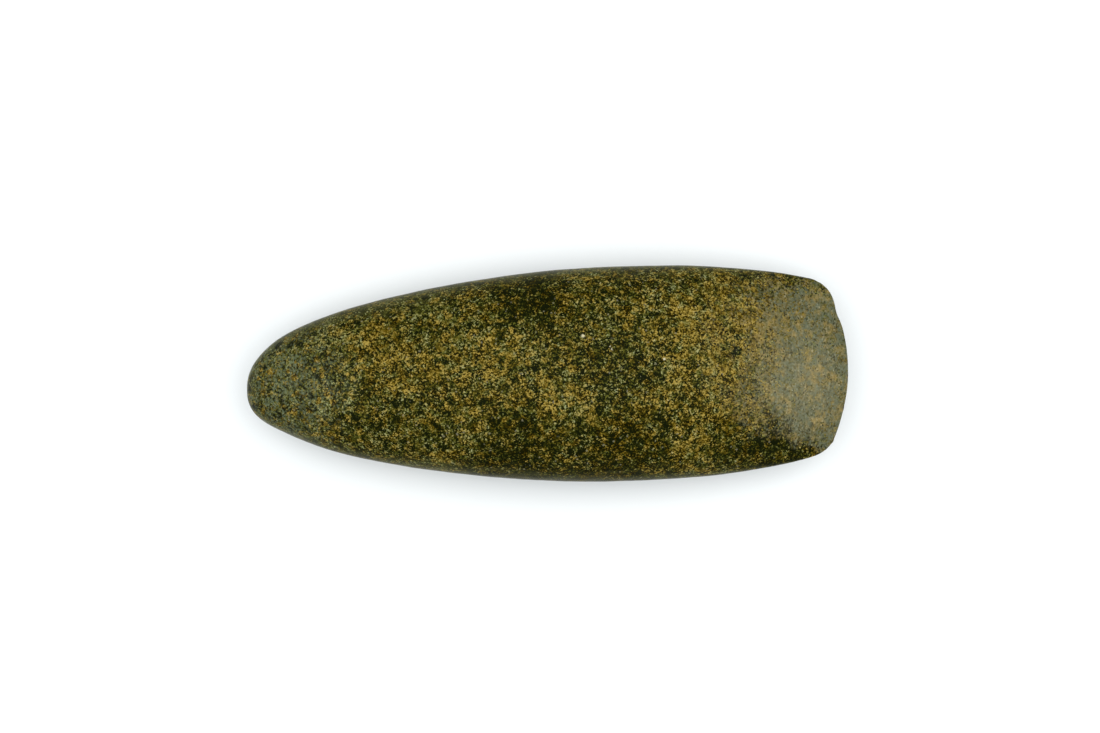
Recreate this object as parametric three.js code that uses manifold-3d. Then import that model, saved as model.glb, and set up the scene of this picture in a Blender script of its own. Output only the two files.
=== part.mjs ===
// Polished stone axe head, ground from one piece of speckled green stone.
// Millimetres, +Z up. The axe lies on one broad face: +X runs from the rounded butt
// to the cutting edge, and Y runs across the face. The origin is on the ground,
// under the middle of the length and the width.

import * as THREE from "three";
import { ParametricGeometry } from "three/addons/geometries/ParametricGeometry.js";
import { mergeVertices } from "three/addons/utils/BufferGeometryUtils.js";
import Module from "manifold-3d";

// Driving dimensions, in millimetres.
const LENGTH = 180;
const WIDTH = 64.4;
const THICKNESS = 40; // from the ground to the top of the upper face
const EDGE_ARC_RADIUS = 51; // the cutting edge's curve, seen from above
const EDGE_TIP_OFFSET = 0.6; // its foremost point lies off the middle line, towards +Y
const CORNER_RADIUS = 4; // the blade's two corners, seen from above
const EDGE_BLUNTNESS = 0.8; // thickness across the rounded cutting edge
const REST_FLAT_DEPTH = 0.35; // taken off the lowest part of the underside
const BUTT_DRIFT = 1.5; // how far the butt's tip lies off the middle line, towards -Y
const NOTCH_DEPTH = 0.6; // an old chip in the cutting edge, worn smooth
const NOTCH_HALF_WIDTH = 2.3;
const NOTCH_OFFSET = 16; // from the middle line, towards +Y

// The stone's form, as shares of its own length, width and thickness.
// The outline swells from the butt to its widest place, then narrows to the blade.
const OUTLINE = { peak: 0.589, swell: 1.533, fullness: 2.332, narrowing: 0.2637, taper: 2.9 };
const PROFILE = { peak: 0.53, swell: 1.75, fullness: 2.2, narrowing: 1, taper: 2.25 };
const UPPER_SHARE = 0.51; // the upper face stands a little prouder than the lower one
const SECTION_SQUARENESS = 2.25; // 2 is an ellipse, and more is squarer
const BUTT_DRIFT_REACH = 0.07; // the drift has died out by this share of the length
const BLADE_BOW_START = 0.3; // the station lines begin to bow with the edge here
const NOTCH_REACH = 0.05; // how far the chip's hollow runs back from the edge

// Facets along and around.
const STATIONS = 60;
const SPOKES = 60;

const clamp01 = (value) => Math.min(1, Math.max(0, value));
const smoothStep = (value) => clamp01(value) ** 2 * (3 - 2 * clamp01(value));

// Half a width or thickness along the stone, as a share of its largest value.
function swellAt(share, form) {
  if (share < form.peak) {
    const left = clamp01(1 - share / form.peak);
    return (1 - left ** form.swell) ** (1 / form.fullness);
  }
  const along = clamp01((share - form.peak) / (1 - form.peak));
  return 1 - form.narrowing * along ** form.taper;
}

// How far a station line falls back at a distance y from the middle line.
function bowAt(share, y) {
  const bow = smoothStep((share - BLADE_BOW_START) / (1 - BLADE_BOW_START));
  return (bow * (y - EDGE_TIP_OFFSET) ** 2) / (2 * EDGE_ARC_RADIUS);
}

// A station line bows, so its ends lie further back: they follow the outline there.
function halfWidthAt(share) {
  let half = (WIDTH / 2) * swellAt(share, OUTLINE);
  for (let pass = 0; pass < 12; pass++) {
    const back = bowAt(share, half) / LENGTH;
    half = (WIDTH / 2) * swellAt(share - back, OUTLINE);
  }
  const intoCorner = clamp01(1 - ((1 - share) * LENGTH) / CORNER_RADIUS);
  return half - CORNER_RADIUS * (1 - Math.sqrt(1 - intoCorner ** 2));
}

// The profile thins to the edge, which ends in a small half-round nose.
function halfThicknessAt(share, full) {
  const nose = EDGE_BLUNTNESS / 2;
  const body = swellAt(share, PROFILE);
  const toEdge = clamp01(((1 - share) * LENGTH) / nose);
  const rounding = share < PROFILE.peak ? body : Math.sqrt(1 - (1 - toEdge) ** 2);
  return (full - nose) * body + nose * rounding;
}

function notchAt(share, y) {
  const nearEdge = smoothStep((share - 1 + NOTCH_REACH) / NOTCH_REACH);
  return NOTCH_DEPTH * nearEdge * Math.exp(-(((y - NOTCH_OFFSET) / NOTCH_HALF_WIDTH) ** 2));
}

function buttDriftAt(share) {
  return -BUTT_DRIFT * clamp01(1 - share / BUTT_DRIFT_REACH) ** 2;
}

// One point of the stone's skin. along runs from butt to edge, and around once
// round the section, from the +Y side over the top.
function skinPoint(around, along, target) {
  const share = (1 - Math.cos(Math.PI * along)) / 2; // stations crowd towards both ends
  const angle = around * 2 * Math.PI;
  const squared = (value) => Math.sign(value) * Math.abs(value) ** (2 / SECTION_SQUARENESS);
  const upper = THICKNESS * UPPER_SHARE;
  const lower = THICKNESS - upper + REST_FLAT_DEPTH;
  const full = Math.sin(angle) >= 0 ? upper : lower;
  const y = halfWidthAt(share) * squared(Math.cos(angle));
  const z = halfThicknessAt(share, full) * squared(Math.sin(angle));
  const x = (share - 0.5) * LENGTH - bowAt(share, y) - notchAt(share, y);
  target.set(x, y + buttDriftAt(share), z + THICKNESS - upper);
}

// A closed indexed geometry as a manifold solid: its shared vertices are merged, and
// the triangles that have closed up at the butt's tip are dropped.
function solidOf(wasm, geometry) {
  const bare = geometry.clone();
  bare.deleteAttribute("normal");
  bare.deleteAttribute("uv");
  const merged = mergeVertices(bare, 1e-4);
  const corners = Array.from(merged.index.array);
  const kept = [];
  for (let i = 0; i < corners.length; i += 3) {
    const [a, b, c] = corners.slice(i, i + 3);
    if (a !== b && b !== c && c !== a) kept.push(a, b, c);
  }
  const vertProperties = merged.attributes.position.array;
  const triVerts = new Uint32Array(kept);
  return new wasm.Manifold(new wasm.Mesh({ numProp: 3, vertProperties, triVerts }));
}

function geometryOf(solid) {
  const mesh = solid.getMesh();
  const geometry = new THREE.BufferGeometry();
  geometry.setAttribute("position", new THREE.BufferAttribute(mesh.vertProperties, 3));
  geometry.setIndex(new THREE.BufferAttribute(mesh.triVerts, 1));
  geometry.computeVertexNormals();
  return geometry;
}

// The ground that the underside was rubbed flat on, as a block under z = 0.
function groundBlock() {
  const block = new THREE.BoxGeometry(LENGTH, WIDTH, THICKNESS);
  block.translate(0, 0, -THICKNESS / 2);
  return block;
}

const wasm = await Module();
wasm.setup();

const skin = new ParametricGeometry(skinPoint, SPOKES, STATIONS);
const axeHead = solidOf(wasm, skin).subtract(solidOf(wasm, groundBlock()));

const stone = new THREE.MeshStandardMaterial({
  name: "speckled_greenstone",
  color: 0x4f4a26,
  roughness: 0.4,
  metalness: 0,
});

const axeMesh = new THREE.Mesh(geometryOf(axeHead), stone);
axeMesh.name = "axe_head";

const axe = new THREE.Group();
axe.name = "polished_stone_axe";
axe.add(axeMesh);

export default axe;
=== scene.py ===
# Polished stone axe head of speckled green-black stone, lying on one broad face.
# Metres, +Z up: +X runs from the rounded butt to the cutting edge.
# The frame's solid gives the form; this file gives its fine surface, stone and stage.

import math

import bpy
from bpy.props import FloatProperty, FloatVectorProperty, IntProperty, PointerProperty
from bpy.types import Operator, Panel, PropertyGroup
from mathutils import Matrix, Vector


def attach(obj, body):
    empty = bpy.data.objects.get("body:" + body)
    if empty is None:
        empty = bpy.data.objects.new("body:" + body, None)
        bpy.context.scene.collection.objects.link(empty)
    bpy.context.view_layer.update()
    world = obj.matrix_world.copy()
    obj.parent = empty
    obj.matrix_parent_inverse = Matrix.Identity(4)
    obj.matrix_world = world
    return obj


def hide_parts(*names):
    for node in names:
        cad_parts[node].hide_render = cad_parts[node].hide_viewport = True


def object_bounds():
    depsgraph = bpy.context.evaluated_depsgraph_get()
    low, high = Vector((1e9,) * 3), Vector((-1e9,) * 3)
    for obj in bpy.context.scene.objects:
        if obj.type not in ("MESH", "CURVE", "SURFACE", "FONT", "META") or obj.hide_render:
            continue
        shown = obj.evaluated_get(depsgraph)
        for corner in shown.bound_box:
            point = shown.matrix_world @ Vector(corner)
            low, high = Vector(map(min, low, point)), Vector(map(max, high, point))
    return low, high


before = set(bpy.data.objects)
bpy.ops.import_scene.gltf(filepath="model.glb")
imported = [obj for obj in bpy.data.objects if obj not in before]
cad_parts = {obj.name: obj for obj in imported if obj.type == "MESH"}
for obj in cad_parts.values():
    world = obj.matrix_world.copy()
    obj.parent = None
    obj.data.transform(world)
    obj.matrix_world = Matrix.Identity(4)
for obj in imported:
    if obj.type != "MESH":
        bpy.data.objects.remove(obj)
CAD_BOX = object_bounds()

bl_info = {
    "name": "Polished Stone Axe",
    "version": (1, 0, 0),
    "blender": (4, 5, 0),
    "location": "3D View > Sidebar > Stone Axe",
    "description": "Models a ground and polished stone axe head and the table it lies on",
    "category": "Add Mesh",
}

SOLID = "axe_head"
BODY = "root"
PIECE = "stone_axe_head"
MM = 0.001
SAME_RING = 1 * MM  # corners this close along X belong to one ring of the cage
SAME_COLUMN_DIGITS = 5  # corners whose Y agrees to so many digits form one column

# The photograph's frame in pixels, and where the axe lies in it.
PHOTO_WIDE_PX = 1100
PHOTO_HIGH_PX = 733
AXE_MIDDLE_PX = (547.4, 376.04)
AXE_LENGTH_PX = 601.4
AXE_TILT_DEG = 1.85

# Broad stains of the stone, and painted shade along the lower side: X, Y and radius in millimetres, then
# how much lighter and how much rustier the grains are in them.
STAINS_AND_LOWER_SHADE = (
    (-88, -3, 9, 0.03, 0.20),
    (-45, 9, 14, 0.05, 0.30),
    (-78, 1, 32, -0.05, -0.24),
    (-57, -8, 13, 0.05, 0.0),
    (-28, -9, 17, -0.03, -0.10),
    (-34, 20, 20, -0.04, -0.16),
    (-4, 22, 13, -0.16, -0.16),
    (20, 4, 16, -0.07, -0.20),
    (25, 28, 11, -0.07, 0.0),
    (50, 11, 23, 0.03, 0.12),
    (35, -15, 23, 0.02, 0.10),
    (58, -15, 10, 0.02, 0.20),
    (69, 13, 16, 0.03, 0.20),
    (84, 25, 10, 0.0, -0.25),
    # The next five darken the lower side: painted shade there, partly darker stone.
    (-48, -22, 19, -0.06, -0.06),
    (-10, -26, 23, -0.14, -0.02),
    (22, -28, 22, -0.13, 0.0),
    (64, -28, 20, -0.10, -0.04),
    (68, -25, 10, -0.07, -0.10),
    (83, -12, 9, 0.02, 0.20),
)

# White flecks on the upper face: X, Y and radius in millimetres.
WHITE_FLECKS = ((10.7, 11.4, 0.65), (18.4, 8.1, 0.3), (18.9, 7.3, 0.35), (34.2, 4.0, 0.5))
FLECK_SHARE = 0.62
CORE = 0.3  # share of a stain's or fleck's radius that it fills wholly

# Round places on the upper face: X, Y, outer radius and the radius filled wholly, in
# millimetres.
# The butt's polish, with the painted sheen that lies over it.
BUTT_POLISH_AND_SHEEN = (-77, -1, 28, 2)
# Middle of the painted highlight on the blade.
BLADE_HIGHLIGHT = (74, -5, 24, 2)
# A shoulder where the steep sides' painted reflection is weaker.
SHOULDER_LESS_REFLECTED = (-58, 27, 34, 8)

# Where things begin and where they are full, in millimetres from the frame's origin.
# The blade's polish, which also carries its painted sheen:
BLADE_POLISH_X = (42, 78)
BLADE_POLISH_UPPER_Y = (31, 20)
BLADE_POLISH_LOWER = (7, 18)  # of Y plus this share of X, as the lower border slants
BLADE_POLISH_SLANT = 0.45
POLISH_WANDER = (30, 12)  # how far the blade's border strays along X and Y
GOLD_BEHIND_X = (82, 52)
BUTT_HALF_X = (-30, -45)

# The grains' colours by their tone.
TONES = (
    (0.0, "groundmass"),
    (0.37, "groundmass"),
    (0.50, "olive"),
    (0.64, "khaki"),
    (0.86, "pale"),
)

# How much each pattern counts in the grains' tone, in their rust, in the painted sheen that covers the
# polished places and in how golden that sheen is. "start" stands alone.
TONE = {
    "start": 0.091,
    "grain": 0.42,
    "fleck": 0.42,
    "group": 0.10,
    "cluster": 0.42,
    "patch": 0.18,
    "cloud": 0.16,
}
RUST = {
    "start": -1.27,
    "group": 0.60,
    "cluster": 1.85,
    "patch": 0.36,
    "stain": 0.85,
    "tone": 0.62,
    "gold": 0.42,
    "dark": -0.30,
    # The steep sides' painted reflection of the table makes their grains greener.
    "side": -0.60,
}
SHEEN = {
    "start": -1.92,
    "streak": 1.1,
    "mottle": 0.9,
    "grain": 1.2,
    "gold": -0.70,
    "dark": -0.35,
    "polish": 1.0,
}
GOLD_SHEEN = {"start": -1.93, "patch": 2.1, "spot": 2.2, "behind": 0.40}
# How much each counts in the painted reflection of the white table on the steep sides.
SIDE_SLOPE = {"start": 0.0, "slope": 1.0, "streak": 0.9, "shoulder": -0.16}

# The stone's own soft patterns: width in millimetres, levels of detail and seed.
PATTERNS = {
    "liveliness": (3.2, 2, 11),
    "polish wander": (9, 3, 21),
    "sheen streak": (1.4, 2, 31),
    "sheen mottle": (3.5, 3, 32),
    "gold patch": (7, 4, 33),
    "gold spot": (2, 2, 34),
    "side streak": (1.8, 3, 41),
    "scratch": (0.45, 2, 51),
    "highlight streak": (0.9, 3, 61),
}

# Seeds of the noises that vary the grains' tone and their rust.
TONE_SEEDS = {"cluster": 1, "patch": 2, "cloud": 3}
RUST_SEEDS = {"cluster": 7, "patch": 8}

# How ragged borders are: the width of their waves in millimetres, and how far they
# stray, as a share of that width.
STAIN_AND_SHADE_BORDER = (9, 2.4)
BUTT_BORDER = (5, 3.2)
HIGHLIGHT_BORDER = (8, 0.8)
FLECK_BORDER = (0.4, 2.2)
GOLD_BORDER = 0.6
DARK_BORDER = 1.2

# Streaks are noise drawn out along one way: its scale along X, Y and Z.
RUBBED_ACROSS = (1, 0.12, 1)
SCRATCHED_ACROSS = (1, 0.06, 1)
RUBBED_ALONG = (0.2, 1, 1)

# Spots: smallest radius and how much larger the largest is, as shares of their spacing,
# the softness of their rims, and how common the golden and the dark ones are.
SPOT_RADIUS = (0.2, 0.3)
SPOT_RIM = (-0.05, 0.08)
SPOT_ONSET = 0.05
GOLD_COMMON = 0.42
DARK_COMMON = 0.40
DARK_SPACING = 1.3  # times the golden spots' spacing
SPOT_WAVES = 3  # width of the waves in the spots' borders, in grains
GOLD_ON_BLADE = 0.35
GOLD_ON_BUTT = 1.3  # added there, as the butt's spots are stronger
DARK_ON_BLADE = 0.10
DARK_ON_BUTT = 0.4

# Shares from 0 to 1 begin at the first number and are full at the second.
RUST_RANGE = (0.0, 1.0)
GOLD_RANGE = (0.0, 1.0)
SHEEN_ONSET = (0.0, 0.30)  # by the polish
SIDE_RANGE = (1.20, 0.62)  # by how level the skin is
SCATTERED_RANGE = (0.990, 0.996)
GLINT_RANGE = (0.90, 0.98)
SCRATCH_RANGE = (0.58, 0.74)

SCATTERED_SHARE = 0.14
GLINT_SHARE = 0.06
SCRATCH_SHARE = 0.11
# The painted highlight on the blade: its strength and its streaks.
HIGHLIGHT_SHARE = 0.07
HIGHLIGHT_EVENNESS = 0.75  # the painted highlight where its streaks are faintest
HIGHLIGHT_STREAKS = 0.5
SIDE_SHINE = 0.20
TONE_ROUGHNESS = 0.1  # how much rougher a pale grain is than the groundmass
FLECK_HEIGHT = 0.5
CALM = -0.1  # the grains' contrast is this, plus LIVELINESS times a pattern from 0 to 1
LIVELINESS = 2.2
MIDDLE = 0.5  # of a pattern's or a random number's range, which runs from 0 to 1

# The soft lights: bearing from +X, height above the table and width in degrees, tint.
LAMPS = {
    "right_light": (6, 73, 50, (1, 0.99, 0.97)),
    "left_light": (174, 73, 50, (1, 0.99, 0.97)),
    "back_light": (90, 45, 60, (0.98, 0.99, 1)),
}

TABLE_ROUGHNESS = 0.9
SENSOR_WIDTH = 36.0  # the camera's, in millimetres
VIEW_REACH = 50.0  # how far the camera sees, in metres
NODE_SPACING = 180

# Relief: the height of a texture that leaves the skin where it is, the levels of detail
# of the waves and the hollows, and the share of a pit's spacing that the pit takes up.
MID_LEVEL = 0.62
WAVE_DETAIL = 1
HOLLOW_DETAIL = 2
PIT_SHARE = 0.22

LOW, HIGH = CAD_BOX
LENGTH = HIGH.x - LOW.x
FAR = 2 * LENGTH


def metres(default, text, name):
    return FloatProperty(name=name, description=text, default=default, unit="LENGTH", precision=5)


def colour(default, text, name):
    return FloatVectorProperty(
        name=name, description=text, default=default, subtype="COLOR", size=3, min=0, max=1
    )


def number(default, text, name):
    return FloatProperty(name=name, description=text, default=default, precision=3)


class AxeForm(PropertyGroup):
    across: IntProperty(name="Faces across", description="Cage faces across the broad face", default=7)
    deep: IntProperty(name="Faces deep", description="Cage faces up each side", default=2)
    along: IntProperty(name="Faces along", description="Cage faces from butt to edge", default=18)
    crowding: number(0.05, "How much the cage's rings crowd towards the two ends", "Crowding")
    edge_thickness: metres(0.8 * MM, "Thickness of the worn cutting edge", "Edge")
    side_margin: metres(0.6 * MM, "How far the cage stands outside the sides", "Side margin")
    edge_margin: metres(1.0 * MM, "How far the cage stands outside the edge", "Edge margin")
    corner_margin: metres(2.6 * MM, "How far it stands outside the blade's corners", "Corner margin")
    corner_inset: metres(8 * MM, "Distance in from the sides where the edge still bows", "Corner inset")
    rings_from: number(0.012, "Where the butt's first ring stands, as a share of the length", "First ring")
    rings_to: number(0.965, "Where the last full ring stands, as a share of the length", "Last ring")
    rounding: IntProperty(name="Rounding", description="Times that the cage is rounded", default=3)
    refining: IntProperty(name="Refining", description="Times that the fitted skin is refined", default=1)
    proud: metres(0.06 * MM, "Laid over the solid before it is evened out", "Skin")
    edge_curve: metres(50 * MM, "Radius of the cutting edge, seen from above", "Edge curve")
    edge_zone: metres(4 * MM, "Width behind the edge that isn't evened out", "Edge zone")
    evening: number(0.5, "How far each pass evens out the solid's facets", "Evening")
    passes: IntProperty(name="Passes", description="Passes that even out the facets", default=2)
    wave_size: metres(17 * MM, "Width of the low waves left by grinding", "Waves")
    wave_depth: metres(0.34 * MM, "Height of the low waves left by grinding", "Wave height")
    worn_size: metres(3.2 * MM, "Width of the worn hollows of the old surface", "Hollows")
    worn_depth: metres(0.07 * MM, "Depth of the worn hollows", "Hollow depth")
    pit_size: metres(5.5 * MM, "Distance between the last pecking pits", "Pits")
    pit_depth: metres(0.16 * MM, "Depth of the last pecking pits", "Pit depth")


class StoneFinish(PropertyGroup):
    groundmass: colour((0.0058, 0.0066, 0.0017), "Green-black groundmass", "Groundmass")
    olive: colour((0.0295, 0.0266, 0.0030), "Dark olive grains", "Olive")
    khaki: colour((0.1044, 0.0905, 0.0155), "Weathered khaki grains", "Khaki")
    pale: colour((0.306, 0.286, 0.176), "Pale feldspar grains", "Pale")
    cool: colour((0.85, 0.98, 0.80), "Tint of the greenish grains", "Greenish tint")
    warm: colour((0.97, 0.75, 0.26), "Tint of the rusty grains", "Rusty tint")
    # Colours of the painted sheen on the polished blade and butt, partly the polish's own paler tone.
    sheen: colour((0.086, 0.096, 0.057), "Grey-green film of the polished blade", "Film")
    cool_sheen: colour((0.094, 0.116, 0.064), "Bluish film of the polished butt", "Butt film")
    golden_sheen: colour((0.210, 0.150, 0.043), "Golden film of the polished blade", "Golden film")
    # The steep sides' colour is a painted reflection of the white table.
    side: colour((0.088, 0.085, 0.028), "Smooth grey-green sides", "Sides")
    # White also paints the highlight on the blade.
    white: colour((0.725, 0.667, 0.435), "White flecks and scratches", "White")
    fleck: metres(0.32 * MM, "Size of the finest flecks", "Fleck")
    grain: metres(0.50 * MM, "Size of a mineral grain", "Grain")
    group: metres(1.5 * MM, "Size of the grains' groups", "Group")
    spot: metres(2.4 * MM, "Distance between the golden spots", "Golden spots")
    cluster: metres(2.4 * MM, "Size of the clusters of pale grains", "Cluster")
    patch: metres(11 * MM, "Size of the light and dark patches", "Patch")
    cloud: metres(38 * MM, "Size of the broadest changes of tone", "Cloud")
    # How far the painted sheen hides the grains.
    sheen_share: number(1.0, "How far the film hides the grains", "Film share")
    # How far that painted reflection hides the grains on the steep sides.
    side_reflection_share: number(0.36, "How far the sides' smooth finish hides the grains", "Sides' share")
    gold_tone: number(0.09, "How much lighter the golden spots are", "Golden spots' tone")
    dark_tone: number(0.17, "How much darker the dark spots are", "Dark spots' tone")
    raggedness: number(0.5, "How ragged the borders of the grains are", "Raggedness")
    roughness: number(0.27, "Roughness of the worn polish", "Roughness")
    gleam: number(0.03, "Reflection of the body", "Gleam")
    polished_gleam: number(0.36, "Reflection of the polished blade", "Blade gleam")
    ior: number(1.22, "Refractive index: low, as the worn polish scatters", "Refractive index")
    # The polish evens out the grains partly as its painted sheen does, on the blade and the butt.
    polished_sheen_tone: number(0.56, "Tone that the polish evens the grains towards", "Polished tone")
    evening: number(0.46, "How far the polish evens out the grains", "Evening out")
    butt_polish_and_sheen: number(0.57, "Polish of the butt, as a share of the blade's", "Butt polish")
    bump: metres(0.02 * MM, "Height of the grains in the worn polish", "Bump")


class TableStage(PropertyGroup):
    table_size: metres(6.0, "Width of the table", "Table")
    table_gap: metres(0.05 * MM, "How far the table lies below the axe", "Table gap")
    table: colour((0.765, 0.790, 0.802), "White table", "Table colour")
    lens: number(70.0, "Focal length in millimetres", "Lens")
    right_light: number(1.70, "Soft light beyond the cutting edge", "Right light")
    left_light: number(1.24, "Soft light beyond the butt", "Left light")
    back_light: number(0.10, "Soft light beyond the upper side", "Back light")
    sky: number(0.62, "Light from all round the room", "Room")
    sky_tint: colour((0.93, 0.97, 1.0), "Tint of the light from all round", "Room tint")


# Measuring the solid

def skin_at(start, way):
    """The place where a ray from start first meets the frame's solid."""
    found, place, _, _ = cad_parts[SOLID].ray_cast(Vector(start), Vector(way))
    if not found:
        raise RuntimeError(f"no skin of {SOLID} on the way {way} from {start}")
    return place


def middle_height():
    """Height of the cutting edge, at which the outline is widest all round."""
    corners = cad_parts[SOLID].data.vertices
    return max(corners, key=lambda corner: corner.co.x).co.z


def section_at(x, height):
    """Lowest and highest Y, and lowest and highest Z, of the solid's section at x."""
    low_y = skin_at((x, -FAR, height), (0, 1, 0)).y
    high_y = skin_at((x, FAR, height), (0, -1, 0)).y
    low_z = skin_at((x, 0, -FAR), (0, 0, 1)).z
    high_z = skin_at((x, 0, FAR), (0, 0, -1)).z
    return low_y, high_y, low_z, high_z


# Shaping the axe head

def start_butt(form, x, section):
    """A small upright grid, which is the butt's end of the cage."""
    low_y, high_y, low_z, high_z = section
    place = (x, (low_y + high_y) / 2, (low_z + high_z) / 2)
    bpy.ops.mesh.primitive_grid_add(
        x_subdivisions=form.deep,
        y_subdivisions=form.across,
        size=1,
        location=place,
        rotation=(0, -math.pi / 2, 0),
    )
    piece = bpy.context.object
    piece.name = PIECE
    piece.data.name = PIECE
    piece.scale = (high_z - low_z, high_y - low_y, 1)
    bpy.ops.object.transform_apply(location=True, rotation=True, scale=True)
    return piece


def extrude_to(x, section, last):
    """Draws the selected end of the cage out to x, and sizes it to that section."""
    last_x, (low_y, high_y, low_z, high_z) = last
    new_low_y, new_high_y, new_low_z, new_high_z = section
    middle = (x, (new_low_y + new_high_y) / 2, (new_low_z + new_high_z) / 2)
    step = (x - last_x, middle[1] - (low_y + high_y) / 2, middle[2] - (low_z + high_z) / 2)
    wider = (new_high_y - new_low_y) / (high_y - low_y)
    thicker = (new_high_z - new_low_z) / (high_z - low_z)
    bpy.ops.mesh.extrude_region_move(TRANSFORM_OT_translate={"value": step})
    bpy.ops.transform.resize(value=(1, wider, thicker), center_override=middle)


def block_out(form):
    """The cage of the axe head: the butt's grid drawn out ring by ring to the edge."""
    height = middle_height()
    first = LOW.x + form.rings_from * LENGTH
    section = section_at(first, height)
    piece = start_butt(form, first, section)
    bpy.ops.object.mode_set(mode="EDIT")
    bpy.ops.mesh.select_all(action="SELECT")
    last = (first, section)
    for ring in range(1, form.along + 1):
        turn = ring / form.along
        share = turn - form.crowding * math.sin(2 * math.pi * turn)
        x = LOW.x + share * LENGTH
        measured = LOW.x + min(share, form.rings_to) * LENGTH
        low_y, high_y, low_z, high_z = section_at(measured, height)
        margin = form.side_margin
        if share > form.rings_to:
            margin = form.corner_margin
            low_z = height - form.edge_thickness / 2
            high_z = height + form.edge_thickness / 2
        section = (low_y - margin, high_y + margin, low_z, high_z)
        extrude_to(x, section, last)
        last = (x, section)
    bow_edge(piece, form, height)
    bpy.ops.mesh.select_all(action="SELECT")
    bpy.ops.mesh.normals_make_consistent(inside=False)
    bpy.ops.object.mode_set(mode="OBJECT")
    return piece


def bow_edge(piece, form, height):
    """Moves each column of the cage's last ring back to the curved cutting edge."""
    bpy.ops.object.mode_set(mode="OBJECT")
    corners = piece.data.vertices
    foremost = max(corner.co.x for corner in corners)
    ring = [corner.index for corner in corners if corner.co.x > foremost - SAME_RING]
    columns = {}
    for index in ring:
        y = round(corners[index].co.y, SAME_COLUMN_DIGITS)
        columns.setdefault(y, []).append(index)
    for y, column in columns.items():
        inside = max(min(y, HIGH.y - form.corner_inset), LOW.y + form.corner_inset)
        edge = skin_at((FAR, inside, height), (-1, 0, 0)).x + form.edge_margin
        select_only(piece, column)
        bpy.ops.transform.translate(value=(edge - foremost, 0, 0))
        bpy.ops.object.mode_set(mode="OBJECT")
    bpy.ops.object.mode_set(mode="EDIT")


def select_only(piece, indices):
    """Selects these corners of the mesh and enters edit mode."""
    bpy.ops.object.mode_set(mode="EDIT")
    bpy.ops.mesh.select_mode(type="VERT")
    bpy.ops.mesh.select_all(action="DESELECT")
    bpy.ops.object.mode_set(mode="OBJECT")
    for index in indices:
        piece.data.vertices[index].select = True
    bpy.ops.object.mode_set(mode="EDIT")


def modify(piece, kind, **settings):
    """Adds a modifier with these settings and applies it."""
    modifier = piece.modifiers.new(kind.title(), kind)
    for name, value in settings.items():
        setattr(modifier, name, value)
    bpy.context.view_layer.objects.active = piece
    bpy.ops.object.modifier_apply(modifier=modifier.name)


def smooth_out(piece, levels):
    """Splits each face in four, levels times, and rounds the skin as it does."""
    modify(piece, "SUBSURF", levels=levels, render_levels=levels)


def fit_to_solid(piece, form):
    """Rounds the cage, lays it on the solid's skin and evens out the solid's facets."""
    smooth_out(piece, form.rounding)
    modify(
        piece,
        "SHRINKWRAP",
        target=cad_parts[SOLID],
        wrap_method="NEAREST_SURFACEPOINT",
        wrap_mode="OUTSIDE_SURFACE",
        offset=form.proud,
    )
    group = piece.vertex_groups.new(name="behind_edge")
    behind = []
    for corner in piece.data.vertices:
        bow = corner.co.y**2 / (2 * form.edge_curve)
        if corner.co.x + bow < HIGH.x - form.edge_zone:
            behind.append(corner.index)
    group.add(behind, 1.0, "REPLACE")
    modify(piece, "SMOOTH", factor=form.evening, iterations=form.passes, vertex_group=group.name)
    piece.vertex_groups.clear()
    smooth_out(piece, form.refining)


def relief_texture(name, kind, size, **settings):
    """A pattern for the relief, whose features are about size metres wide."""
    texture = bpy.data.textures.new(name, kind)
    texture.noise_scale = size
    for setting, value in settings.items():
        setattr(texture, setting, value)
    return texture


def wear_surface(piece, form):
    """Low grinding waves, worn hollows and the last pecking pits, as real relief."""
    waves = relief_texture("grinding_waves", "CLOUDS", form.wave_size, noise_depth=WAVE_DETAIL)
    modify(piece, "DISPLACE", texture=waves, strength=form.wave_depth, mid_level=MID_LEVEL)
    hollows = relief_texture("worn_hollows", "CLOUDS", form.worn_size, noise_depth=HOLLOW_DETAIL)
    modify(piece, "DISPLACE", texture=hollows, strength=form.worn_depth, mid_level=MID_LEVEL)
    pits = relief_texture("pecking_pits", "VORONOI", form.pit_size, distance_metric="DISTANCE")
    pits.use_color_ramp = True
    ramp = pits.color_ramp
    ramp.elements[0].color = (0, 0, 0, 1)
    ramp.elements[0].position = 0.0
    ramp.elements[1].color = (1, 1, 1, 1)
    ramp.elements[1].position = PIT_SHARE
    ramp.interpolation = "EASE"
    modify(piece, "DISPLACE", texture=pits, strength=form.pit_depth, mid_level=1.0)


def keep_inside_box(piece):
    """Holds the skin inside the solid's own box."""
    for corner in piece.data.vertices:
        for axis in range(3):
            corner.co[axis] = min(max(corner.co[axis], LOW[axis]), HIGH[axis])


# The stone's material

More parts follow.
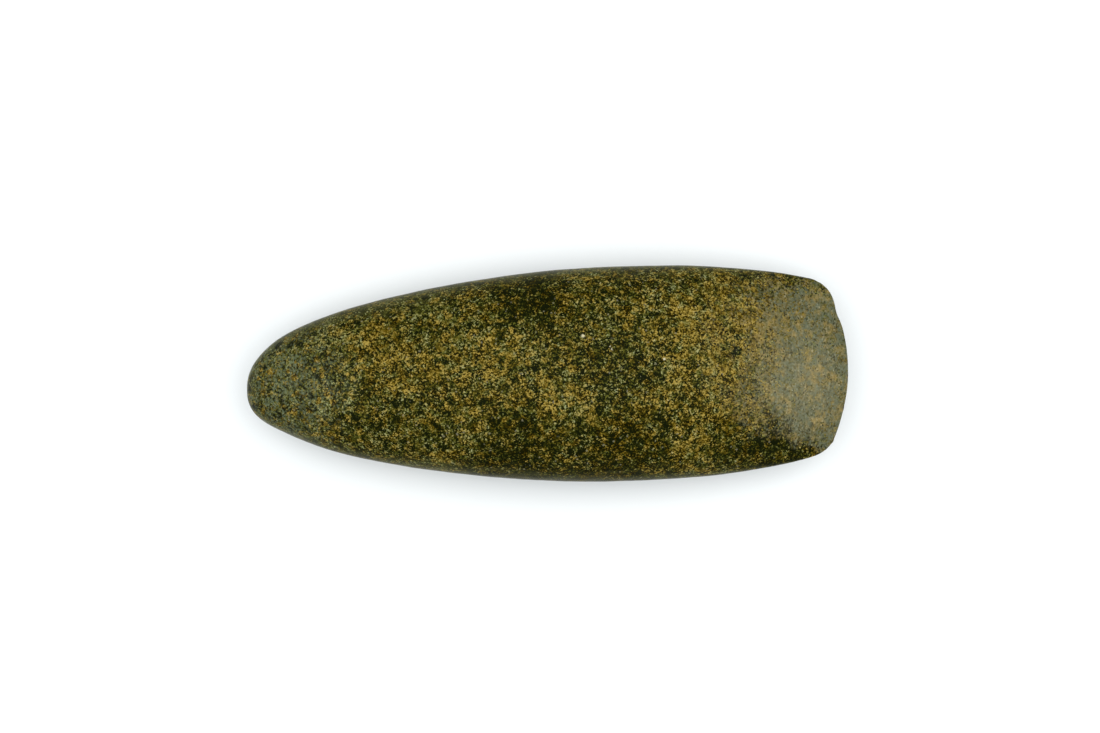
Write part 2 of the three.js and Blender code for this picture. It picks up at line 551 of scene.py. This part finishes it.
class Nodes:
    """Adds and joins shader nodes in one material's tree."""

    def __init__(self, material):
        material.use_nodes = True
        self.tree = material.node_tree
        self.tree.nodes.clear()
        self.column = 0

    def add(self, kind, **settings):
        node = self.tree.nodes.new(kind)
        self.column += 1
        node.location = (NODE_SPACING * self.column, 0)
        for name, value in settings.items():
            setattr(node, name, value)
        return node

    def join(self, source, target):
        self.tree.links.new(source, target)

    def fill(self, socket, value):
        """Joins another node's output to a socket, or sets a plain value there."""
        if isinstance(value, bpy.types.NodeSocket):
            self.join(value, socket)
        elif value is not None:
            socket.default_value = value

    def maths(self, operation, first, second=None, third=None, clamp=False):
        node = self.add("ShaderNodeMath", operation=operation, use_clamp=clamp)
        for socket, value in zip(node.inputs, (first, second, third)):
            self.fill(socket, value)
        return node.outputs[0]

    def vectors(self, operation, first, second=None, scale=None, output="Vector"):
        node = self.add("ShaderNodeVectorMath", operation=operation)
        self.fill(node.inputs[0], first)
        self.fill(node.inputs[1], second)
        if scale is not None:
            node.inputs["Scale"].default_value = scale
        return node.outputs[output]

    def product(self, first, *others):
        for other in others:
            first = self.maths("MULTIPLY", first, other)
        return first

    def weighed(self, weights, **values):
        """The weights' start, plus each named value times its own weight."""
        result = weights["start"]
        for name, value in values.items():
            result = self.maths("MULTIPLY_ADD", value, weights[name], result)
        return result

    def limited(self, value):
        """The value, held between 0 and 1."""
        return self.maths("ADD", value, 0.0, clamp=True)

    def between(self, share, first, second):
        """first where share is 0, second where it is 1."""
        gap = self.maths("SUBTRACT", second, first)
        return self.maths("MULTIPLY_ADD", gap, share, first)

    def band(self, value, low, high):
        """0 below low, 1 above high, and smooth between them."""
        node = self.add("ShaderNodeMapRange", interpolation_type="SMOOTHSTEP")
        self.join(value, node.inputs["Value"])
        node.inputs["From Min"].default_value = low
        node.inputs["From Max"].default_value = high
        return node.outputs[0]

    def reach(self, value, low, high):
        """The same for a place, with low and high in millimetres."""
        return self.band(value, low * MM, high * MM)

    def axes(self, vector):
        """The vector's X, Y and Z."""
        node = self.add("ShaderNodeSeparateXYZ")
        self.join(vector, node.inputs[0])
        return node.outputs

    def flat(self, place):
        """The place's X and Y alone."""
        return self.vectors("MULTIPLY", place, (1, 1, 0))

    def warped(self, place, size, amount):
        """The place, moved about by noise of this size, by amount of it."""
        noise = self.add("ShaderNodeTexNoise")
        self.join(place, noise.inputs["Vector"])
        noise.inputs["Scale"].default_value = 1 / size
        noise.inputs["Detail"].default_value = 1.0
        centred = self.vectors("SUBTRACT", noise.outputs["Color"], (MIDDLE, MIDDLE, MIDDLE))
        stray = self.vectors("SCALE", centred, scale=amount * size)
        return self.vectors("ADD", place, stray)

    def stretched(self, place, scale):
        """The place, scaled along each axis, which draws a pattern out into streaks."""
        node = self.add("ShaderNodeMapping")
        self.join(place, node.inputs["Vector"])
        node.inputs["Scale"].default_value = scale
        return node.outputs[0]

    def noise(self, place, size, detail=2.0, seed=0.0):
        """Soft noise whose features are about size metres wide, from 0 to 1."""
        node = self.add("ShaderNodeTexNoise", noise_dimensions="4D")
        self.join(place, node.inputs["Vector"])
        node.inputs["Scale"].default_value = 1 / size
        node.inputs["Detail"].default_value = detail
        node.inputs["W"].default_value = seed
        return node.outputs["Fac"]

    def pattern(self, name, place):
        """One of the stone's own soft patterns, from 0 to 1."""
        size, detail, seed = PATTERNS[name]
        return self.noise(place, size * MM, detail, seed)

    def grains(self, place, size):
        """Grains of about size metres: three random numbers of each, and its distance."""
        node = self.add("ShaderNodeTexVoronoi", feature="F1")
        self.join(place, node.inputs["Vector"])
        node.inputs["Scale"].default_value = 1 / size
        split = self.add("ShaderNodeSeparateColor")
        self.join(node.outputs["Color"], split.inputs[0])
        return [*split.outputs, node.outputs["Distance"]]

    def spots(self, place, size, common):
        """1 inside round spots, scattered about size metres apart, and 0 between them."""
        width, luck, _, distance = self.grains(place, size)
        smallest, growth = SPOT_RADIUS
        radius = self.maths("MULTIPLY_ADD", width, growth, smallest)
        inside = self.maths("SUBTRACT", radius, distance)
        chosen = self.band(luck, 1 - common, 1 - common + SPOT_ONSET)
        return self.product(self.band(inside, *SPOT_RIM), chosen)

    def near(self, flat, x, y, radius, core):
        """1 within core of the point x, y, 0 beyond radius of it, all in millimetres."""
        away = self.vectors("DISTANCE", flat, (x * MM, y * MM, 0), output="Value")
        return self.reach(away, radius, core)

    def tint(self, first, second):
        """The product of two colours."""
        return self.vectors("MULTIPLY", first, second)

    def ramp(self, value, stops):
        """The colour that belongs to a value, where stops pair positions and colours."""
        node = self.add("ShaderNodeValToRGB")
        elements = node.color_ramp.elements
        while len(elements) < len(stops):
            elements.new(1.0)
        for element, (position, tone) in zip(elements, stops):
            element.position = position
            element.color = (*tone, 1)
        self.join(value, node.inputs[0])
        return node.outputs[0]

    def mix(self, share, first, second):
        """The first colour where share is 0 and the second where it is 1."""
        node = self.add("ShaderNodeMix", data_type="RGBA")
        self.fill(node.inputs["Factor"], share)
        for name, value in (("A", first), ("B", second)):
            socket = [s for s in node.inputs if s.name == name and s.type == "RGBA"][0]
            if isinstance(value, bpy.types.NodeSocket):
                self.join(value, socket)
            else:
                socket.default_value = (*value, 1)
        return [s for s in node.outputs if s.type == "RGBA"][0]

    def finish(self, shader):
        """Joins the shader to the material's output."""
        output = self.add("ShaderNodeOutputMaterial")
        self.join(shader.outputs[0], output.inputs["Surface"])


def stone_material(finish):
    """Speckled green-black stone with weathered ochre grains, on Object coordinates."""
    material = bpy.data.materials.new("speckled_greenstone")
    n = Nodes(material)
    place = n.add("ShaderNodeTexCoord").outputs["Object"]
    ragged = n.warped(place, finish.grain, finish.raggedness)
    # The polished places, which carry a painted sheen as well as their real gloss.
    blade, butt = polish_and_sheen_of(n, place, finish)
    polish = n.limited(n.maths("ADD", blade, butt))
    gold, dark = spots_of(n, ragged, blade, butt, finish)
    # Painted reflection of the white table on the steep sides.
    side = side_reflection_of(n, place, finish)
    # Stains of the stone, and painted shade along the lower side.
    lighter, rustier = stains_and_lower_shade_of(n, place)
    tone, height = tone_of(n, place, ragged, finish)
    tone = n.maths("ADD", tone, lighter)
    tone = n.maths("MULTIPLY_ADD", gold, finish.gold_tone, tone)
    tone = n.maths("MULTIPLY_ADD", dark, -finish.dark_tone, tone)
    others = {"stain": rustier, "tone": tone, "gold": gold, "dark": dark, "side": side}
    rust = rust_of(n, place, ragged, others, finish)
    # The grains evened out under the polish: partly painted sheen.
    tone = n.between(n.product(polish, finish.evening), tone, finish.polished_sheen_tone)

    stops = [(position, getattr(finish, name)) for position, name in TONES]
    base = n.tint(n.ramp(tone, stops), n.mix(rust, finish.cool, finish.warm))
    # Painted sheen of the polished places, partly their own paler grey-green, laid over the grains.
    sheen = painted_sheen_of(n, place, ragged, {"gold": gold, "dark": dark, "polish": polish}, finish)
    base = n.mix(sheen, base, sheen_colour(n, place, finish))
    # Painted highlight: the soft light's whitish reflection in the middle of the blade.
    base = n.mix(painted_highlight_of(n, place, polish), base, finish.white)
    # The steep sides take on their painted reflection of the table.
    base = n.mix(side, base, finish.side)
    base = n.mix(flecks_of(n, place, ragged, polish, finish), base, finish.white)

    shader = n.add("ShaderNodeBsdfPrincipled")
    n.join(base, shader.inputs["Base Color"])
    roughness = n.maths("MULTIPLY_ADD", tone, TONE_ROUGHNESS, finish.roughness)
    n.join(roughness, shader.inputs["Roughness"])
    shine = n.maths("MAXIMUM", polish, n.product(side, SIDE_SHINE))
    n.join(n.between(shine, finish.gleam, finish.polished_gleam), shader.inputs["Specular IOR Level"])
    shader.inputs["IOR"].default_value = finish.ior
    bump = n.add("ShaderNodeBump")
    bump.inputs["Strength"].default_value = 1.0
    bump.inputs["Distance"].default_value = finish.bump
    n.join(height, bump.inputs["Height"])
    n.join(bump.outputs[0], shader.inputs["Normal"])
    n.finish(shader)
    return material


def tone_of(n, place, ragged, finish):
    """Tone from 0, groundmass, to 1, pale grain; and the height of the grains."""
    grain = n.grains(ragged, finish.grain)
    fleck = n.grains(ragged, finish.fleck)
    lively = n.maths("MULTIPLY_ADD", n.pattern("liveliness", place), LIVELINESS, CALM)
    tone = n.weighed(
        TONE,
        grain=n.product(n.maths("SUBTRACT", grain[0], MIDDLE), lively),
        fleck=n.product(n.maths("SUBTRACT", fleck[0], MIDDLE), lively),
        group=n.grains(ragged, finish.group)[0],
        cluster=n.noise(place, finish.cluster, seed=TONE_SEEDS["cluster"]),
        patch=n.noise(place, finish.patch, seed=TONE_SEEDS["patch"]),
        cloud=n.noise(place, finish.cloud, detail=1, seed=TONE_SEEDS["cloud"]),
    )
    return tone, n.maths("MULTIPLY_ADD", fleck[1], FLECK_HEIGHT, tone)


def rust_of(n, place, ragged, others, finish):
    """0 where the grains are greenish and 1 where they are rusty."""
    rust = n.weighed(
        RUST,
        group=n.grains(ragged, finish.group)[0],
        cluster=n.noise(place, finish.cluster, seed=RUST_SEEDS["cluster"]),
        patch=n.noise(place, finish.patch, seed=RUST_SEEDS["patch"]),
        **others,
    )
    return n.band(rust, *RUST_RANGE)


def stains_and_lower_shade_of(n, place):
    """How much lighter and how much rustier the broad stains, and the painted shade on the lower side,
    make the grains.
    """
    size, amount = STAIN_AND_SHADE_BORDER
    flat = n.flat(n.warped(place, size * MM, amount))
    lighter, rustier = 0.0, 0.0
    for x, y, radius, light, rust in STAINS_AND_LOWER_SHADE:
        share = n.near(flat, x, y, radius, CORE * radius)
        lighter = n.maths("MULTIPLY_ADD", share, light, lighter)
        rustier = n.maths("MULTIPLY_ADD", share, rust, rustier)
    return lighter, rustier


def spots_of(n, ragged, blade, butt, finish):
    """The golden and the dark spots: faint on the blade and stronger on the butt."""
    gold_strength = n.maths("MULTIPLY_ADD", butt, GOLD_ON_BUTT, n.between(blade, 1.0, GOLD_ON_BLADE))
    dark_strength = n.maths("MULTIPLY_ADD", butt, DARK_ON_BUTT, n.between(blade, 1.0, DARK_ON_BLADE))
    waves = SPOT_WAVES * finish.grain
    gold = n.spots(n.warped(ragged, waves, GOLD_BORDER), finish.spot, GOLD_COMMON)
    dark = n.spots(n.warped(ragged, waves, DARK_BORDER), DARK_SPACING * finish.spot, DARK_COMMON)
    return n.product(gold, gold_strength), n.product(dark, dark_strength)


def polish_and_sheen_of(n, place, finish):
    """The polish of the blade and that of the butt, each from 0 to 1, which also carry their painted
    sheen.
    """
    x, y, _ = n.axes(place)
    wander = n.maths("SUBTRACT", n.pattern("polish wander", place), MIDDLE)
    along, across = POLISH_WANDER
    x = n.maths("MULTIPLY_ADD", wander, along * MM, x)
    y = n.maths("MULTIPLY_ADD", wander, across * MM, y)
    lower = n.maths("MULTIPLY_ADD", x, BLADE_POLISH_SLANT, y)
    blade = n.product(
        n.reach(x, *BLADE_POLISH_X),
        n.reach(lower, *BLADE_POLISH_LOWER),
        n.reach(y, *BLADE_POLISH_UPPER_Y),
    )
    size, amount = BUTT_BORDER
    butt = n.near(n.flat(n.warped(place, size * MM, amount)), *BUTT_POLISH_AND_SHEEN)
    return blade, n.product(butt, finish.butt_polish_and_sheen)


def sheen_colour(n, place, finish):
    """Painted sheen: grey-green with golden patches on the blade, golden behind it, bluish on the butt."""
    x = n.axes(place)[0]
    golden = n.weighed(
        GOLD_SHEEN,
        patch=n.pattern("gold patch", place),
        spot=n.pattern("gold spot", place),
        behind=n.reach(x, *GOLD_BEHIND_X),
    )
    sheen = n.mix(n.band(golden, *GOLD_RANGE), finish.sheen, finish.golden_sheen)
    return n.mix(n.reach(x, *BUTT_HALF_X), sheen, finish.cool_sheen)


def painted_sheen_of(n, place, ragged, others, finish):
    """How much of the polished places' painted sheen hides the grains."""
    share = n.weighed(
        SHEEN,
        streak=n.pattern("sheen streak", n.stretched(place, RUBBED_ACROSS)),
        mottle=n.pattern("sheen mottle", place),
        grain=n.grains(ragged, finish.grain)[2],
        **others,
    )
    share = n.limited(n.product(share, finish.sheen_share))
    return n.product(share, n.band(others["polish"], *SHEEN_ONSET))


def painted_highlight_of(n, place, polish):
    """Painted highlight: the whitish reflection of the soft light in the middle of the blade, in streaks
    across it.
    """
    streaks = n.pattern("highlight streak", n.stretched(place, RUBBED_ACROSS))
    size, amount = HIGHLIGHT_BORDER
    share = n.near(n.flat(n.warped(place, size * MM, amount)), *BLADE_HIGHLIGHT)
    streaks = n.maths("MULTIPLY_ADD", streaks, HIGHLIGHT_STREAKS, HIGHLIGHT_EVENNESS)
    return n.product(share, streaks, polish, HIGHLIGHT_SHARE)


def side_reflection_of(n, place, finish):
    """How much of the painted reflection of the white table on the steep sides hides the grains."""
    normal = n.add("ShaderNodeNewGeometry").outputs["Normal"]
    slope = n.weighed(
        SIDE_SLOPE,
        slope=n.maths("ABSOLUTE", n.axes(normal)[2]),
        streak=n.pattern("side streak", n.stretched(place, RUBBED_ALONG)),
        shoulder=n.near(n.flat(place), *SHOULDER_LESS_REFLECTED),
    )
    return n.product(n.band(slope, *SIDE_RANGE), finish.side_reflection_share)


def flecks_of(n, place, ragged, polish, finish):
    """White flecks scattered over the stone, and fine scratches across the blade."""
    _, rare, glint, _ = n.grains(ragged, finish.grain)
    scattered = n.product(n.band(rare, *SCATTERED_RANGE), SCATTERED_SHARE)
    glints = n.product(n.band(glint, *GLINT_RANGE), GLINT_SHARE)
    scratches = n.pattern("scratch", n.stretched(place, SCRATCHED_ACROSS))
    scratches = n.product(n.band(scratches, *SCRATCH_RANGE), SCRATCH_SHARE)
    polished = n.product(n.maths("ADD", glints, scratches), polish)
    share = n.maths("ADD", scattered, polished)
    size, amount = FLECK_BORDER
    flat = n.flat(n.warped(place, size * MM, amount))
    for x, y, radius in WHITE_FLECKS:
        fleck = n.near(flat, x, y, radius, CORE * radius)
        share = n.maths("MULTIPLY_ADD", fleck, FLECK_SHARE, share)
    return n.limited(share)


def plain_material(name, tone, roughness):
    """One even colour."""
    material = bpy.data.materials.new(name)
    n = Nodes(material)
    shader = n.add("ShaderNodeBsdfPrincipled")
    shader.inputs["Base Color"].default_value = (*tone, 1)
    shader.inputs["Roughness"].default_value = roughness
    n.finish(shader)
    return material


# The stage

def soft_light(name, strength, bearing, height, width, tint):
    """A broad soft light in the direction bearing, height degrees above the table."""
    bpy.ops.object.light_add(type="SUN")
    lamp = bpy.context.object
    lamp.name = name
    lamp.data.name = name
    lamp.data.energy = strength
    lamp.data.angle = math.radians(width)
    lamp.data.color = tint
    lamp.rotation_euler = (0, math.radians(90 - height), math.radians(bearing))


def overhead_camera(settings):
    """Looks straight down, so that the axe lies in the picture as in the photograph."""
    height = middle_height()
    metres_per_pixel = LENGTH / AXE_LENGTH_PX
    bpy.ops.object.camera_add()
    camera = bpy.context.object
    camera.name = "overhead_camera"
    camera.data.lens = settings.lens
    camera.data.sensor_width = SENSOR_WIDTH
    camera.data.clip_end = VIEW_REACH
    distance = settings.lens * PHOTO_WIDE_PX * metres_per_pixel / SENSOR_WIDTH
    right = (PHOTO_WIDE_PX / 2 - AXE_MIDDLE_PX[0]) * metres_per_pixel
    up = (AXE_MIDDLE_PX[1] - PHOTO_HIGH_PX / 2) * metres_per_pixel
    tilt = math.radians(AXE_TILT_DEG)
    camera.location = (
        right * math.cos(tilt) + up * math.sin(tilt),
        up * math.cos(tilt) - right * math.sin(tilt),
        height + distance,
    )
    camera.rotation_euler = (0, 0, -tilt)
    bpy.context.scene.camera = camera


class STONEAXE_OT_head(Operator):
    """Shape, wear and finish the axe head over the frame's solid"""

    bl_idname = "stone_axe.head"
    bl_label = "Axe Head"
    bl_options = {"REGISTER", "UNDO"}

    def execute(self, context):
        form = context.scene.stone_axe_form
        bpy.ops.object.select_all(action="DESELECT")
        piece = block_out(form)
        fit_to_solid(piece, form)
        wear_surface(piece, form)
        keep_inside_box(piece)
        bpy.ops.object.shade_smooth()
        piece.data.materials.append(stone_material(context.scene.stone_axe_finish))
        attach(piece, BODY)
        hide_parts(SOLID)
        return {"FINISHED"}


class STONEAXE_OT_stage(Operator):
    """Lay the white table, the soft lights and the camera that looks straight down"""

    bl_idname = "stone_axe.stage"
    bl_label = "Table, Lights and Camera"
    bl_options = {"REGISTER", "UNDO"}

    def execute(self, context):
        settings = context.scene.stone_axe_stage
        bpy.ops.object.select_all(action="DESELECT")
        under = (0, 0, -settings.table_gap)
        bpy.ops.mesh.primitive_plane_add(size=settings.table_size, location=under)
        table = bpy.context.object
        table.name = "table"
        table.data.materials.append(plain_material("white_table", settings.table, TABLE_ROUGHNESS))
        for name, (bearing, height, width, tint) in LAMPS.items():
            soft_light(name, getattr(settings, name), bearing, height, width, tint)
        world = bpy.data.worlds.new("room")
        world.use_nodes = True
        room = world.node_tree.nodes["Background"]
        room.inputs["Color"].default_value = (*settings.sky_tint, 1)
        room.inputs["Strength"].default_value = settings.sky
        context.scene.world = world
        context.scene.view_settings.view_transform = "Standard"
        overhead_camera(settings)
        return {"FINISHED"}


class STONEAXE_PT_sidebar(Panel):
    bl_label = "Stone Axe"
    bl_idname = "STONEAXE_PT_sidebar"
    bl_space_type = "VIEW_3D"
    bl_region_type = "UI"
    bl_category = "Stone Axe"

    def draw(self, context):
        parts = (
            (STONEAXE_OT_head, context.scene.stone_axe_form),
            (None, context.scene.stone_axe_finish),
            (STONEAXE_OT_stage, context.scene.stone_axe_stage),
        )
        for operator, settings in parts:
            box = self.layout.box()
            if operator:
                box.operator(operator.bl_idname)
            for name in settings.__annotations__:
                box.prop(settings, name)


CLASSES = (AxeForm, StoneFinish, TableStage, STONEAXE_OT_head, STONEAXE_OT_stage, STONEAXE_PT_sidebar)


def register():
    for cls in CLASSES:
        bpy.utils.register_class(cls)
    bpy.types.Scene.stone_axe_form = PointerProperty(type=AxeForm)
    bpy.types.Scene.stone_axe_finish = PointerProperty(type=StoneFinish)
    bpy.types.Scene.stone_axe_stage = PointerProperty(type=TableStage)


def unregister():
    del bpy.types.Scene.stone_axe_stage
    del bpy.types.Scene.stone_axe_finish
    del bpy.types.Scene.stone_axe_form
    for cls in reversed(CLASSES):
        bpy.utils.unregister_class(cls)


def main():
    register()
    bpy.ops.stone_axe.head()
    bpy.ops.stone_axe.stage()


if __name__ == "__main__":
    main()
